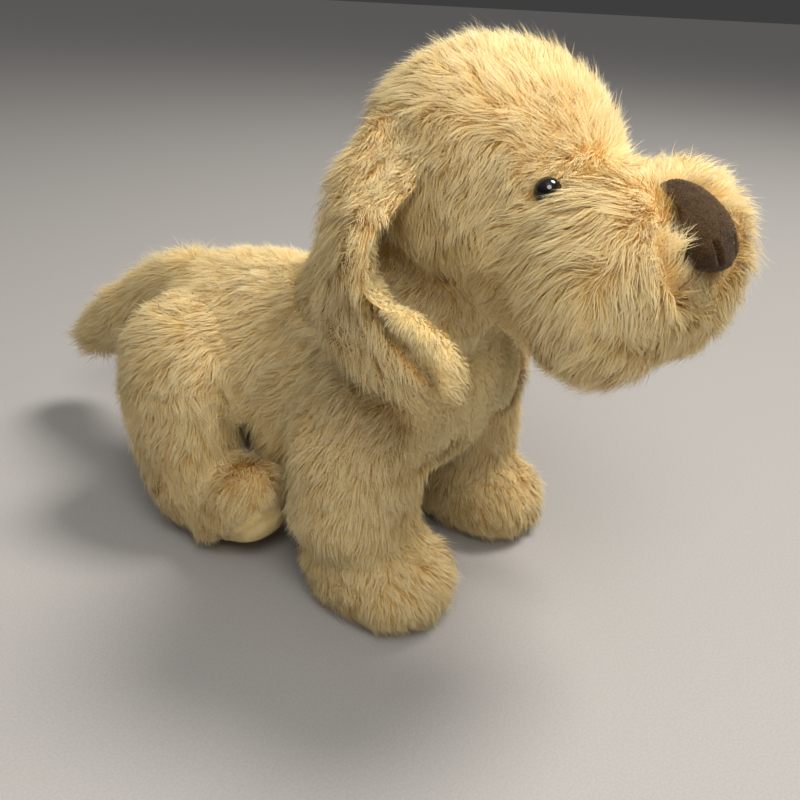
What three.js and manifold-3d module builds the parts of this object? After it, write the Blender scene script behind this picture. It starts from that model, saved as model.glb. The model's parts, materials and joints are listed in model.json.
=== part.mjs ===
// A standing plush puppy, sewn from fur-fabric panels over stuffing.
// Millimetres. The puppy faces -Y, its left side is +X, and +Z is up.
import * as THREE from "three";
import Module from "manifold-3d";
import { mergeVertices } from "three/addons/utils/BufferGeometryUtils.js";

const wasm = await Module();
wasm.setup();

// ---- Driving dimensions ----
const CENTRING = [4.87, -30.91, 0]; // brings the middle of the puppy's box over the origin
const PANEL = 3; // fur fabric: its backing and the pressed foot of its pile
const GAP = 0.3; // room between sewn neighbours that don't move
const SLIP = 0.6; // room between pieces that turn against each other
const HUGE = 400; // larger than the puppy, for cutting boxes

// The neck turns about a vertical axis, and the head nods about a level one over the neck.
const NECK = { y: -14, z: 132, baseR: 50, turn: -12 }; // turn, in degrees, is how the head stands
const NOD = { y: -26, z: 142, r: 44 };
const SHOULDER = { y: -28, z: 86, r: 33, inside: 22, back: 35, front: 33 };
const HIP = { y: 82, z: 80, r: 38, inside: 26, back: 38, front: 44 };
const TAIL_ROOT = { at: [0, 120, 112], r: 15 };

const GUSSET = 11; // half width of the strip that runs over the head
const CHIN = { y: -50, z: 195 }; // the chin strip lies ahead of y and below z, and ends at the nose
const NOSE = { at: [0, -153, 195], tilt: 0.85, size: [17, 8, 18] };
const EYE = { at: [29.5, -115, 203], aim: [0.72, -0.5, 0.45], r: 4.8, shank: 1.6, washer: 6 };
const FOOT = { at: [55, 41, 23], rise: 0.66, half: 16 }; // hind foot: its middle and its tilt, in radians

// ---- Colours of the cloth and plastic ----
const FUR = { color: 0xe0c590, roughness: 0.95, metalness: 0 };
const SHORT_PILE = { color: 0xecd9ad, roughness: 0.9, metalness: 0 };
const NOSE_CLOTH = { color: 0x5b4833, roughness: 0.9, metalness: 0 };
const FIBRE = { color: 0xf3f1ea, roughness: 1, metalness: 0 };
const EYE_PLASTIC = { color: 0x0b0a0a, roughness: 0.08, metalness: 0 };
const WASHER_PLASTIC = { color: 0xe9e7df, roughness: 0.5, metalness: 0 };

// The head, its neck and its ears are modelled looking straight ahead, then turned together.
const puppy = new THREE.Group();
puppy.position.set(...CENTRING);
const turned = new THREE.Group();
turned.position.set(0, NECK.y, 0);
turned.rotation.z = THREE.MathUtils.degToRad(NECK.turn);
const head = new THREE.Group();
head.position.set(0, -NECK.y, 0);
turned.add(head);
puppy.add(turned);

// ---- Solid helpers ----
function solid(geometry) {
  const bare = geometry.clone();
  bare.deleteAttribute("normal");
  bare.deleteAttribute("uv");
  const merged = mergeVertices(bare, 1e-4);
  return new wasm.Manifold(new wasm.Mesh({
    numProp: 3,
    vertProperties: new Float32Array(merged.attributes.position.array),
    triVerts: new Uint32Array(merged.index.array),
  }));
}

function add(group, name, body, finish) {
  const mesh = body.getMesh();
  const geometry = new THREE.BufferGeometry();
  geometry.setAttribute("position", new THREE.BufferAttribute(mesh.vertProperties.slice(), 3));
  geometry.setIndex(new THREE.BufferAttribute(mesh.triVerts.slice(), 1));
  geometry.computeVertexNormals();
  const piece = new THREE.Mesh(geometry, new THREE.MeshStandardMaterial(finish));
  piece.name = name;
  group.add(piece);
}

const join = (bodies) => bodies.reduce((all, body) => all.add(body));
const mirrored = (body, side) => (side > 0 ? body : body.mirror([1, 0, 0]));

function box(low, high) {
  const size = high.map((v, i) => v - low[i]);
  const geometry = new THREE.BoxGeometry(...size);
  geometry.translate(...low.map((v, i) => v + size[i] / 2));
  return solid(geometry);
}

const above = (z) => box([-HUGE, -HUGE, z], [HUGE, HUGE, HUGE]);
const below = (z) => box([-HUGE, -HUGE, -HUGE], [HUGE, HUGE, z]);
const behind = (y) => box([-HUGE, y, -HUGE], [HUGE, HUGE, HUGE]);
const ahead = (y) => box([-HUGE, -HUGE, -HUGE], [HUGE, y, HUGE]);
const leftOf = (x) => box([x, -HUGE, -HUGE], [HUGE, HUGE, HUGE]);
const rightOf = (x) => box([-HUGE, -HUGE, -HUGE], [x, HUGE, HUGE]);

function barAlongX(y, z, r, from, to) {
  const geometry = new THREE.CylinderGeometry(r, r, to - from, 24);
  geometry.rotateZ(Math.PI / 2);
  geometry.translate((from + to) / 2, y, z);
  return solid(geometry);
}

function barAlongZ(x, y, r, from, to) {
  const geometry = new THREE.CylinderGeometry(r, r, to - from, 24);
  geometry.rotateX(Math.PI / 2);
  geometry.translate(x, y, (from + to) / 2);
  return solid(geometry);
}

function ball(at, radii, across, up) {
  const geometry = new THREE.SphereGeometry(1, across, up);
  geometry.rotateX(Math.PI / 2);
  geometry.scale(...radii);
  geometry.translate(...at);
  return solid(geometry);
}

// Joins rings of points, all with the same count, into one closed skin.
function skinOver(rings) {
  const sides = rings[0].length;
  const points = rings.flat();
  const faces = [];
  for (let r = 0; r < rings.length - 1; r += 1) {
    for (let k = 0; k < sides; k += 1) {
      const a = r * sides + k;
      const b = r * sides + ((k + 1) % sides);
      faces.push(a, b, b + sides, a, b + sides, a + sides);
    }
  }
  for (const [ring, flip] of [[0, true], [rings.length - 1, false]]) {
    const centre = new THREE.Vector3();
    rings[ring].forEach((p) => centre.addScaledVector(p, 1 / sides));
    const hub = points.push(centre) - 1;
    for (let k = 0; k < sides; k += 1) {
      const a = ring * sides + k;
      const b = ring * sides + ((k + 1) % sides);
      faces.push(...(flip ? [hub, b, a] : [hub, a, b]));
    }
  }
  const geometry = new THREE.BufferGeometry();
  const numbers = points.flatMap((p) => [p.x, p.y, p.z]);
  geometry.setAttribute("position", new THREE.Float32BufferAttribute(numbers, 3));
  geometry.setIndex(faces);
  const body = solid(geometry);
  if (body.volume() > 0) return body;
  geometry.setIndex(faces.map((_, i) => faces[i - (i % 3) + [0, 2, 1][i % 3]]));
  return solid(geometry);
}

// A stuffed limb: oval sections along a smooth path, with domed ends.
// sizes holds [half width along X, half depth in the side view] at even steps of the path,
// domes holds the length of each rounded end, and inset shrinks the whole limb.
// An inner skin needs fewer sides than the outer one.
function limb({ path, sizes, domes, sides = 12, steps = 7 }, inset) {
  const spine = new THREE.CatmullRomCurve3(path.map((p) => new THREE.Vector3(...p)));
  const radii = new THREE.CatmullRomCurve3(sizes.map(([w, d]) => new THREE.Vector3(w, d, 0)));
  const length = spine.getLength();
  const from = (inset + 0.4) / length;
  const around = inset > 0 ? Math.round(sides * 0.67) : sides;
  const rings = [];
  for (let s = 0; s <= steps; s += 1) {
    const t = from + ((1 - Math.cos((Math.PI * s) / steps)) / 2) * (1 - 2 * from);
    const left = [t * length - inset, (1 - t) * length - inset];
    const round = left.map((d, end) => Math.max(0, 1 - d / (domes[end] - inset)));
    const dome = Math.sqrt(1 - Math.min(0.985, Math.max(...round) ** 2));
    const centre = spine.getPointAt(t);
    const forward = spine.getTangentAt(t);
    const across = new THREE.Vector3(1, 0, 0).addScaledVector(forward, -forward.x).normalize();
    const up = new THREE.Vector3().crossVectors(forward, across);
    const size = radii.getPoint(t);
    const ring = [];
    for (let k = 0; k < around; k += 1) {
      const turn = (2 * Math.PI * k) / around;
      ring.push(centre.clone()
        .addScaledVector(across, (size.x - inset) * dome * Math.cos(turn))
        .addScaledVector(up, (size.y - inset) * dome * Math.sin(turn)));
    }
    rings.push(ring);
  }
  return skinOver(rings);
}

// A stuffed form's cloth and the stuffing that fills it, both open where a neighbour's room cuts in.
function layers(form, room) {
  const cut = (body) => (room ? body.subtract(room) : body);
  return { shell: cut(form(0).subtract(form(PANEL))), stuffing: cut(form(PANEL + GAP)) };
}

// The space on each side of the torso in which a leg hangs from its round top and swings.
function legRoom({ y, z, r, inside, back, front }, grow) {
  const round = barAlongX(y, z, r + grow, inside - grow, HUGE);
  return round.add(box([inside - grow, y - front - grow, -HUGE], [HUGE, y + back + grow, z]));
}

// ---- Torso ----
const neckPocket = barAlongZ(0, NECK.y, NECK.baseR, NECK.z - SLIP, HUGE);
const tailPocket = ball(TAIL_ROOT.at, Array(3).fill(TAIL_ROOT.r + 3), 16, 8);
const legPockets = [SHOULDER, HIP].flatMap((joint) => [1, -1].map((side) => mirrored(legRoom(joint, SLIP), side)));

function torsoForm(inset) {
  return limb({
    path: [[0, -60, 92], [0, -20, 90], [0, 30, 88], [0, 80, 89], [0, 128, 84]],
    sizes: [[36, 38], [43, 48], [44, 51], [47, 47], [44, 40]],
    domes: [26, 36],
    sides: 16,
    steps: 8,
  }, inset);
}

function addTorso() {
  const { shell, stuffing } = layers(torsoForm, join([neckPocket, tailPocket, ...legPockets]));
  const chestY = -40;
  const belly = { half: 18, from: chestY, to: 106, top: 76 };
  const panel = box([-belly.half, belly.from, -HUGE], [belly.half, belly.to, belly.top]);
  const room = box([-belly.half - GAP, belly.from, -HUGE], [belly.half + GAP, belly.to + GAP, belly.top + GAP]);
  const sides = shell.intersect(behind(chestY)).subtract(room);
  add(puppy, "body_side_left", sides.intersect(leftOf(GAP / 2)), FUR);
  add(puppy, "body_side_right", sides.intersect(rightOf(-GAP / 2)), FUR);
  add(puppy, "chest_panel", shell.intersect(ahead(chestY - GAP)), SHORT_PILE);
  add(puppy, "belly_panel", shell.intersect(panel), SHORT_PILE);
  add(puppy, "body_stuffing", stuffing, FIBRE);
}

// ---- Neck ----
function neckForm(inset) {
  const column = limb({
    path: [[0, -12, 84], [0, -15, 132], [0, -40, 186]],
    sizes: [[38, 45], [40, 47], [36, 40]],
    domes: [10, 14],
    sides: 16,
    steps: 6,
  }, inset);
  const cap = barAlongX(NOD.y, NOD.z, NOD.r - inset, -HUGE, HUGE);
  return column.intersect(cap).intersect(above(NECK.z + (inset > PANEL ? GAP : 0)));
}

function addNeck() {
  const { shell, stuffing } = layers(neckForm);
  add(head, "neck_cover_left", shell.intersect(leftOf(GAP / 2)), FUR);
  add(head, "neck_cover_right", shell.intersect(rightOf(-GAP / 2)), FUR);
  add(head, "neck_stuffing", stuffing, FIBRE);
}

// ---- Head ----
function headForm(inset) {
  const detail = inset > 0 ? [10, 6] : [14, 9];
  const puff = (at, radii) => ball(at, radii.map((r) => r - inset), ...detail);
  const skull = puff([0, -63, 198], [50, 53, 47]);
  const cheeks = [1, -1].map((side) => puff([side * 18, -134, 174], [31, 28.5, 37]));
  const bridge = limb({
    path: [[0, -76, 180], [0, -104, 177], [0, -138, 173]],
    sizes: [[38, 38], [38, 37], [34, 36]],
    domes: [16, 30],
    steps: 5,
  }, inset);
  const chin = puff([0, -120, 158], [32, 32, 24]);
  return join([skull, ...cheeks, bridge, chin]);
}

function noseDome(grow) {
  const geometry = new THREE.SphereGeometry(1, 14, 8);
  geometry.scale(...NOSE.size.map((r) => r + grow));
  geometry.rotateX(-NOSE.tilt);
  geometry.translate(...NOSE.at);
  return solid(geometry);
}

// A round bar along an eye's axis, from one depth to another behind the eye's middle.
function eyeBar(r, from, to) {
  const aim = new THREE.Vector3(...EYE.aim).normalize();
  const geometry = new THREE.CylinderGeometry(r, r, to - from, 12);
  geometry.translate(0, -(from + to) / 2, 0);
  geometry.applyQuaternion(new THREE.Quaternion().setFromUnitVectors(new THREE.Vector3(0, 1, 0), aim));
  geometry.translate(...EYE.at);
  return solid(geometry);
}

const eyeBead = (grow) => ball(EYE.at, Array(3).fill(EYE.r + grow), 12, 8);
const eyeRoom = () => join([eyeBead(GAP), eyeBar(EYE.shank + GAP, 0, 15), eyeBar(EYE.washer + GAP, 9.7, 12.3)]);

function addEyes() {
  const eye = eyeBead(0).add(eyeBar(EYE.shank, 0, 14));
  const washer = eyeBar(EYE.washer, 10, 12).subtract(eyeBar(EYE.shank + GAP, 8, 14));
  for (const [side, name] of [[1, "left"], [-1, "right"]]) {
    add(head, `eye_${name}`, mirrored(eye, side), EYE_PLASTIC);
    add(head, `eye_washer_${name}`, mirrored(washer, side), WASHER_PLASTIC);
  }
}

function addHead() {
  const pocket = barAlongX(NOD.y, NOD.z, NOD.r + SLIP, -HUGE, HUGE);
  const rooms = join([pocket, noseDome(GAP), eyeRoom(), mirrored(eyeRoom(), -1)]);
  const { shell, stuffing } = layers(headForm, rooms);
  const middle = shell.intersect(box([-GUSSET, -HUGE, -HUGE], [GUSSET, HUGE, HUGE]));
  add(head, "head_side_left", shell.intersect(leftOf(GUSSET + GAP)), FUR);
  add(head, "head_side_right", shell.intersect(rightOf(-GUSSET - GAP)), FUR);
  const underNose = (grow) => below(CHIN.z + grow).intersect(ahead(CHIN.y + grow));
  add(head, "head_gusset", middle.subtract(underNose(GAP)), FUR);
  add(head, "chin_gusset", middle.intersect(underNose(0)), FUR);
  add(head, "head_stuffing", stuffing, FIBRE);
}

function addNose() {
  const cloth = 1.5;
  const muzzle = headForm(-GAP);
  add(head, "nose_cover", noseDome(0).subtract(noseDome(-cloth)).subtract(muzzle), NOSE_CLOTH);
  add(head, "nose_padding", noseDome(-cloth - GAP).subtract(muzzle), FIBRE);
}

// ---- Ears ----
// A flap hangs from the head, curls forward and turns its lining up at the tip.
// Each station: where its middle lies, the vector over half of its width, and its half thickness.
const EAR_STATIONS = [
  { at: [48, -56, 222], half: [-1, 13, -2], thick: 3.5 },
  { at: [61, -59, 198], half: [-1, 19, -5], thick: 4.5 },
  { at: [65, -61, 174], half: [0, 20, -8], thick: 5 },
  { at: [67, -65, 153], half: [1, 15, -14], thick: 5 },
  { at: [66, -86, 145], half: [3, 9, -14], thick: 5 },
  { at: [65, -103, 141], half: [3, 4, -11], thick: 4.5 },
  { at: [64, -114, 141], half: [1, 1, -5], thick: 3 },
];

function earLayer(outside) {
  const curve = (pick) => new THREE.CatmullRomCurve3(EAR_STATIONS.map((s) => new THREE.Vector3(...pick(s))));
  const centres = curve((s) => s.at);
  const halves = curve((s) => s.half);
  const thickness = curve((s) => [s.thick, 0, 0]);
  const steps = 10;
  const spread = [-1, -0.6, 0, 0.6, 1];
  const rings = [];
  for (let s = 0; s <= steps; s += 1) {
    const half = halves.getPoint(s / steps);
    const out = new THREE.Vector3().crossVectors(half, centres.getTangent(s / steps)).normalize();
    const sign = (out.x < 0 ? -1 : 1) * (outside ? 1 : -1);
    const thick = thickness.getPoint(s / steps).x;
    const skin = spread.map((a) => [a, thick * Math.sqrt(Math.max(0.1, 1 - a * a))]);
    const seam = spread.toReversed().map((a) => [a, GAP / 2]);
    rings.push([...skin, ...seam].map(([a, o]) => centres.getPoint(s / steps)
      .addScaledVector(half, a).addScaledVector(out, sign * o)));
  }
  return skinOver(rings);
}

function addEars() {
  for (const [side, name] of [[1, "left"], [-1, "right"]]) {
    add(head, `ear_back_${name}`, mirrored(earLayer(true), side), FUR);
    add(head, `ear_lining_${name}`, mirrored(earLayer(false), side), SHORT_PILE);
  }
}

// ---- Front legs ----
// Each leg is drawn on the left and mirrored for the right.
function frontLegForm(inset) {
  const leg = limb({
    path: [[38, -28, 122], [42, -28, 86], [45, -28, 48], [46, -30, 4]],
    sizes: [[16, 32], [23, 29], [25, 27], [28, 27]],
    domes: [20, 8],
  }, inset);
  const paw = limb({
    path: [[46, -12, 15], [46, -44, 16], [45, -77, 14]],
    sizes: [[24, 16], [29, 22], [26, 17]],
    domes: [14, 18],
    steps: 7,
  }, inset);
  return join([leg, paw]).intersect(legRoom(SHOULDER, -inset).add(below(46))).intersect(above(inset));
}

function addFrontLeg(side, name) {
  const { shell, stuffing } = layers(frontLegForm);
  const seamX = 43;
  const upper = shell.intersect(above(PANEL + GAP));
  const pieces = {
    outer: [upper.intersect(leftOf(seamX + GAP)), FUR],
    inner: [upper.intersect(rightOf(seamX)), FUR],
    sole: [shell.intersect(below(PANEL)), FUR],
    stuffing: [stuffing, FIBRE],
  };
  for (const [piece, [body, finish]] of Object.entries(pieces)) {
    add(puppy, `front_leg_${piece}_${name}`, mirrored(body, side), finish);
  }
}

// ---- Hind legs ----
// A slab parallel to the raised sole, between two heights above the foot's axis.
function footSlab(from, to) {
  const geometry = new THREE.BoxGeometry(HUGE, HUGE, to - from);
  geometry.translate(0, 0, (from + to) / 2);
  geometry.rotateX(-FOOT.rise);
  geometry.translate(...FOOT.at);
  return solid(geometry);
}

function hindLegForm(inset) {
  const thigh = limb({
    path: [[42, 83, 120], [50, 83, 82], [54, 75, 46], [55, 65, 4]],
    sizes: [[18, 34], [24, 36], [23, 30], [20, 20]],
    domes: [22, 10],
  }, inset);
  const along = (d) => [FOOT.at[0], FOOT.at[1] - d * Math.cos(FOOT.rise), FOOT.at[2] + d * Math.sin(FOOT.rise)];
  const foot = limb({
    path: [along(-34), along(4), along(36)],
    sizes: [[18, 18], [21, 21], [20, 18]],
    domes: [14, 16],
    steps: 6,
  }, inset);
  const whole = thigh.add(foot.intersect(footSlab(inset - FOOT.half, HUGE)));
  return whole.intersect(legRoom(HIP, -inset).add(leftOf(30 + inset).intersect(below(60)))).intersect(above(inset));
}

function addHindLeg(side, name) {
  const { shell, stuffing } = layers(hindLegForm);
  const seamX = 51;
  const heelY = 60;
  const soleTop = PANEL - FOOT.half;
  const upper = shell.subtract(footSlab(-HUGE / 2, soleTop + GAP).intersect(ahead(heelY + GAP)));
  const pieces = {
    outer: [upper.intersect(leftOf(seamX + GAP)), FUR],
    inner: [upper.intersect(rightOf(seamX)), FUR],
    sole: [shell.intersect(footSlab(-HUGE / 2, soleTop)).intersect(ahead(heelY)), SHORT_PILE],
    stuffing: [stuffing, FIBRE],
  };
  for (const [piece, [body, finish]] of Object.entries(pieces)) {
    add(puppy, `hind_leg_${piece}_${name}`, mirrored(body, side), finish);
  }
}

// ---- Tail ----
function tailForm(inset) {
  return limb({
    path: [[0, 111, 117], [0, 144, 104], [0, 188, 77], [0, 225, 47]],
    sizes: [[13, 13], [14, 14], [14, 15], [12, 12]],
    domes: [12, 14],
    sides: 10,
  }, inset);
}

function addTail() {
  const { shell, stuffing } = layers(tailForm);
  add(puppy, "tail_left", shell.intersect(leftOf(GAP / 2)), FUR);
  add(puppy, "tail_right", shell.intersect(rightOf(-GAP / 2)), FUR);
  add(puppy, "tail_stuffing", stuffing, FIBRE);
}

addHead();
addNose();
addEyes();
addEars();
addNeck();
addTorso();
for (const [side, name] of [[1, "left"], [-1, "right"]]) {
  addFrontLeg(side, name);
  addHindLeg(side, name);
}
addTail();

export default puppy;
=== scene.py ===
"""The looks of a sewn plush puppy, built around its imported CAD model.

Everything is in metres, in the CAD frame: the body faces -Y, its left is +X, and +Z is up. Each cloth panel of the
CAD becomes a piece of backing cloth with its own pile of combed, tapering strands.
"""
import json
import math

import bmesh
import bpy
import numpy as np
from mathutils import Matrix, Vector, noise
from mathutils.bvhtree import BVHTree
from mathutils.kdtree import KDTree


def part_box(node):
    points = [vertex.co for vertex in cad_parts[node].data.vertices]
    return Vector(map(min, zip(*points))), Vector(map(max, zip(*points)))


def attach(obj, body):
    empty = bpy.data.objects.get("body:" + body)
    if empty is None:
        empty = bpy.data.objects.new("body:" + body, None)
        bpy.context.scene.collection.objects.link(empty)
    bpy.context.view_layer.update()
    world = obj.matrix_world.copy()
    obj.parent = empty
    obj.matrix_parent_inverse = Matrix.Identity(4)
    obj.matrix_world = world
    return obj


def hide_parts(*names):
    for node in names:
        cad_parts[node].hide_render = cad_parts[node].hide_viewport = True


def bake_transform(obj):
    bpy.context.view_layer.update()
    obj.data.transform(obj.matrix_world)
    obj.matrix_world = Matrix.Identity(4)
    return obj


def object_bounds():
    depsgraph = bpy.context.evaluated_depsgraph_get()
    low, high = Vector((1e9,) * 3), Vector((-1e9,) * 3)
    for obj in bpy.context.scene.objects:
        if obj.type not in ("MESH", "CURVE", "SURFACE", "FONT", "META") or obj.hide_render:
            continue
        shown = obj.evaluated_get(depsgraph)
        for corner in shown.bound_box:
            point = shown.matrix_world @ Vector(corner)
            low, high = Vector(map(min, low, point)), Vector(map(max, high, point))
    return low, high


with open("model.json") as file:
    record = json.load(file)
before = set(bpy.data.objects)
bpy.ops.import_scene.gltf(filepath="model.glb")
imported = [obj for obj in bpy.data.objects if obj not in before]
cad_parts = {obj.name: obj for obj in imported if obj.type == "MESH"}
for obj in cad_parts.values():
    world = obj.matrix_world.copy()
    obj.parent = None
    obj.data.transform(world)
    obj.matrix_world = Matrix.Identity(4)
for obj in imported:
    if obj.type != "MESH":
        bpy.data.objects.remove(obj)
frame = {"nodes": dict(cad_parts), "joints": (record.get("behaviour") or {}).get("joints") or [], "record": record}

CAD_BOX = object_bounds()
noise.seed_set(1)  # noise vectors are seeded from the clock until this is called
MM = 0.001
NODES = frame["nodes"]
BODY_OF = {node: body for body, nodes in frame["record"]["behaviour"]["bodies"].items() for node in nodes}
SLOT_OF = {entry["node"]: entry["material_slot"] for entry in frame["record"]["subparts"]}
JOINTS = {joint["name"]: joint for joint in frame["joints"]}
SIDES = ("left", "right")

# ---- Cloth ----
TRUNK_VOXEL = 3.6 * MM
HEAD_VOXEL = 3.2 * MM
EAR_VOXEL = 2.2 * MM
PRESSURE = 4.0
PRESSURE_FRAMES = 20
SWELL = 1.8 * MM  # as far as the stuffing may push the cloth out
SUNK = 2.4 * MM  # how far the backing cloth lies below the pile's own surface
EAR_SUNK = 0.8 * MM
SEAM_WIDTH = 4.0 * MM
SEAM_DEPTH = 0.8 * MM
FLOOR_CLEARANCE = 0.4 * MM
TRUNK_BRIDGE = 7 * MM  # half the width of the valleys between hips, shoulders and body that the cloth spans
HEAD_BRIDGE = 5 * MM
BRIDGE_VOXEL = 2 * MM
CHEST_BULK = (56 * MM, 24 * MM, 33 * MM)  # radii of the filling that rounds the chest, and of one at each shoulder
SHOULDER_BULK = (30 * MM, 27 * MM, 27 * MM)
SHOULDER_X, SHOULDER_RISE = 34 * MM, 8 * MM
TOE_RIM = 33 * MM  # how far the hind sole wraps up the toe
BELLY_SAG = 8 * MM
TOE_DROOP = 10 * MM
LEG_FULLNESS = 7 * MM
NECK_TAPER = 0.22  # share of its width that the neck loses at its top
EAR_FLARE = 10 * MM  # how far the ear's front edge stands away from the head
EAR_ROOT = 10 * MM  # how deep the ear's root lies in the head, and how much more at its front edge
EAR_ROOT_FRONT = 12 * MM
RIM_WIDTH = 10 * MM  # how far the lining rolls over the ear's edge
LINING_PUFF = 3.5 * MM
NOSE_VOXEL = 1.1 * MM
NOSTRIL_DEPTH = 2.2 * MM

# ---- Eyes ----
BEAD_RADIUS = 4.8 * MM
BEAD_REACH = 9 * MM  # from the washer's middle to the bead's
SHANK_RADIUS = 1.5 * MM
SHANK_LENGTH = 12 * MM
EYE_CLEARING = 3.9 * MM  # no strand crosses the bead nearer to its middle than this

# ---- Stuffing: the size of its voxels, how deep it lies under its solid's skin, and the depth of its lumps ----
FIBRE = {"body": (4.0 * MM, SUNK, 1.6 * MM), "nose": (1.5 * MM, 0.2 * MM, 0.3 * MM)}

# ---- Where cloth bends over a joint: the body it comes from, and the heights where it leaves it and joins its own ----
BENDS = {
    "neck": ("torso", 0.143, 0.170),
    "front_leg": ("torso", 0.106, 0.056),
    "hind_leg": ("torso", 0.106, 0.052),
    "ear": ("head", 0.224, 0.204),
}

# ---- Pile: strands per square millimetre, their length and width in millimetres, and how far they stand up ----
PILE = {
    "long": {"density": 2.6, "length": 8.6, "width": 0.22, "lift": 0.98, "lock": 0.28, "clump": 0.3, "stray": 0.24},
    "short": {"density": 3.6, "length": 2.6, "width": 0.24, "lift": 0.75, "lock": 0.3, "clump": 0.1, "stray": 0.3},
    "sole": {"density": 3.6, "length": 1.5, "width": 0.22, "lift": 0.9, "lock": 0.2, "clump": 0.0, "stray": 0.3},
    "velour": {"density": 7.0, "length": 0.5, "width": 0.18, "lift": 1.1, "lock": 0.3, "clump": 0.1, "stray": 0.4},
}
STRANDS_PER_LOCK = 5
STRANDS_PER_CLUMP = 70
STATIONS = np.array([0.0, 0.48, 1.0])  # along a strand, from root to tip
TAPER = np.array([1.0, 0.86, 0.0])
ATLAS_CLOTH = 0.1  # share of a piece's colour map that its backing cloth takes
PROUD = (0.03 * (np.array(CAD_BOX[1]) - np.array(CAD_BOX[0])) + 10 * MM) / 2  # pile outside the CAD box, each side

# ---- Light: each lamp's place, target, size, power in watts and colour ----
WARM, WHITE, SOFT = (1.0, 0.95, 0.86), (1.0, 0.98, 0.94), (1.0, 0.97, 0.9)
LAMPS = {
    "key": ((0.75, -0.6, 1.9), (0, -0.03, 0.12), 0.75, 39, WARM),
    "top": ((-0.5, -0.4, 1.9), (0, -0.03, 0.12), 1.2, 2, WHITE),
    "fill": ((-0.36, -0.36, 0.62), (-0.05, -0.1, 0.18), 0.35, 2.2, SOFT),
}
SKY = [(0.0, (0.16, 0.16, 0.16 * 1.03, 1)), (0.3, (0.24, 0.24, 0.25, 1)), (0.8, (1, 0.98, 0.94, 1))]
SKY_STRENGTH = 0.3

# ---- Camera: how the photographer's lens stood over the floor, in degrees and metres ----
HEADING, PITCH, ROLL = 34, 26.08, 2.38
CAMERA_BACK, CAMERA_LEFT, CAMERA_HEIGHT = 0.349, 0.028, 0.260  # from a point on the floor between the shoulders
CAMERA_SHOULDERS = -0.024  # that point's Y, from the front legs' joints
LENS = 37.71


# ---- The head's own frame: it stands turned, so its left is the nod joint's axis ----
HEAD_X = np.array(JOINTS["head_nod"]["axis"])
HEAD_Y = np.cross((0, 0, 1), HEAD_X)
HEAD_AXES = np.array([HEAD_X, HEAD_Y, (0, 0, 1)])
HEAD_PIVOT = np.array(JOINTS["neck_turn"]["pos_m"]) * (1, 1, 0)


def to_head(points):
    return (points - HEAD_PIVOT) @ HEAD_AXES.T


def turn_from_head(vectors):
    return vectors @ HEAD_AXES


def middle(node):
    low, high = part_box(node)
    return np.array((low + high) / 2)


def eye_line(side):
    """An eye's place, and the way it looks, from its washer to its bead."""
    washer = middle(f"eye_washer_{side}")
    corners = np.array([v.co for v in NODES[f"eye_{side}"].data.vertices])
    bead = corners[np.linalg.norm(corners - washer, axis=1) > 8 * MM].mean(axis=0)
    aim = (bead - washer) / np.linalg.norm(bead - washer)
    return washer + aim * BEAD_REACH, aim


EYES = {side: eye_line(side) for side in SIDES}
NOSE = middle("nose_cover")
MIDLINE = JOINTS["tail_wag"]["pos_m"][0]


def smooth(x, low, high):
    t = np.clip((x - low) / (high - low), 0, 1)
    return t * t * (3 - 2 * t)


def unit(vectors):
    return vectors / np.maximum(np.linalg.norm(vectors, axis=-1, keepdims=True), 1e-9)


def tangent(vectors, normals):
    return unit(vectors - normals * np.sum(vectors * normals, axis=-1, keepdims=True))


def swirl(points, scale, seed):
    offset = Vector((seed * 7.3, seed * 3.1, seed * 5.7))
    return np.array([noise.noise_vector(Vector(p) * scale + offset) for p in points])


# ---- Cloth forms ----
def joined(names, fillers=()):
    """One mesh of the named CAD solids, with their split corners merged, and of oval fillers (place, radii)."""
    bm = bmesh.new()
    for name in names:
        bm.from_mesh(NODES[name].data)
    for at, radii in fillers:
        ball = bmesh.ops.create_icosphere(bm, subdivisions=4, radius=1)["verts"]
        bmesh.ops.scale(bm, verts=ball, vec=radii)
        bmesh.ops.translate(bm, verts=ball, vec=at)
    bmesh.ops.remove_doubles(bm, verts=bm.verts, dist=1e-6)
    mesh = bpy.data.meshes.new("form")
    bm.to_mesh(mesh)
    bm.free()
    return mesh


def new_object(name, mesh):
    obj = bpy.data.objects.new(name, mesh)
    bpy.context.scene.collection.objects.link(obj)
    return obj


def evaluated(obj):
    """The object's mesh with its modifiers applied; the object itself goes."""
    graph = bpy.context.evaluated_depsgraph_get()
    mesh = bpy.data.meshes.new_from_object(obj.evaluated_get(graph))
    bpy.data.objects.remove(obj)
    return mesh


def remeshed(names, voxel, smoothing, bridge=None, fillers=()):
    """One closed skin around the named solids. Valleys narrower than twice the bridge at a point are filled."""
    mesh = joined(names, fillers)
    if bridge:
        mesh = voxel_skin(mesh, BRIDGE_VOXEL, 1)
        co = coordinates(mesh)
        set_coordinates(mesh, co + vertex_normals(mesh) * bridge(co)[:, None])
    mesh = voxel_skin(mesh, voxel, 2 if bridge else smoothing)
    if bridge:
        co = coordinates(mesh)
        set_coordinates(mesh, co - vertex_normals(mesh) * bridge(co)[:, None])
        mesh = softened(mesh, smoothing)
    return mesh


def voxel_skin(mesh, voxel, smoothing):
    obj = new_object("form", mesh)
    remesh = obj.modifiers.new("remesh", "REMESH")
    remesh.mode = "VOXEL"
    remesh.voxel_size = voxel
    return softened(evaluated(obj), smoothing)


def softened(mesh, iterations):
    obj = new_object("form", mesh)
    soften = obj.modifiers.new("soften", "SMOOTH")
    soften.factor = 0.5
    soften.iterations = iterations
    return evaluated(obj)


def vertex_normals(mesh):
    return np.array([v.normal[:] for v in mesh.vertices])


def coordinates(mesh):
    co = np.empty(len(mesh.vertices) * 3, np.float32)
    mesh.vertices.foreach_get("co", co)
    return co.reshape(-1, 3).astype(float)


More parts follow.
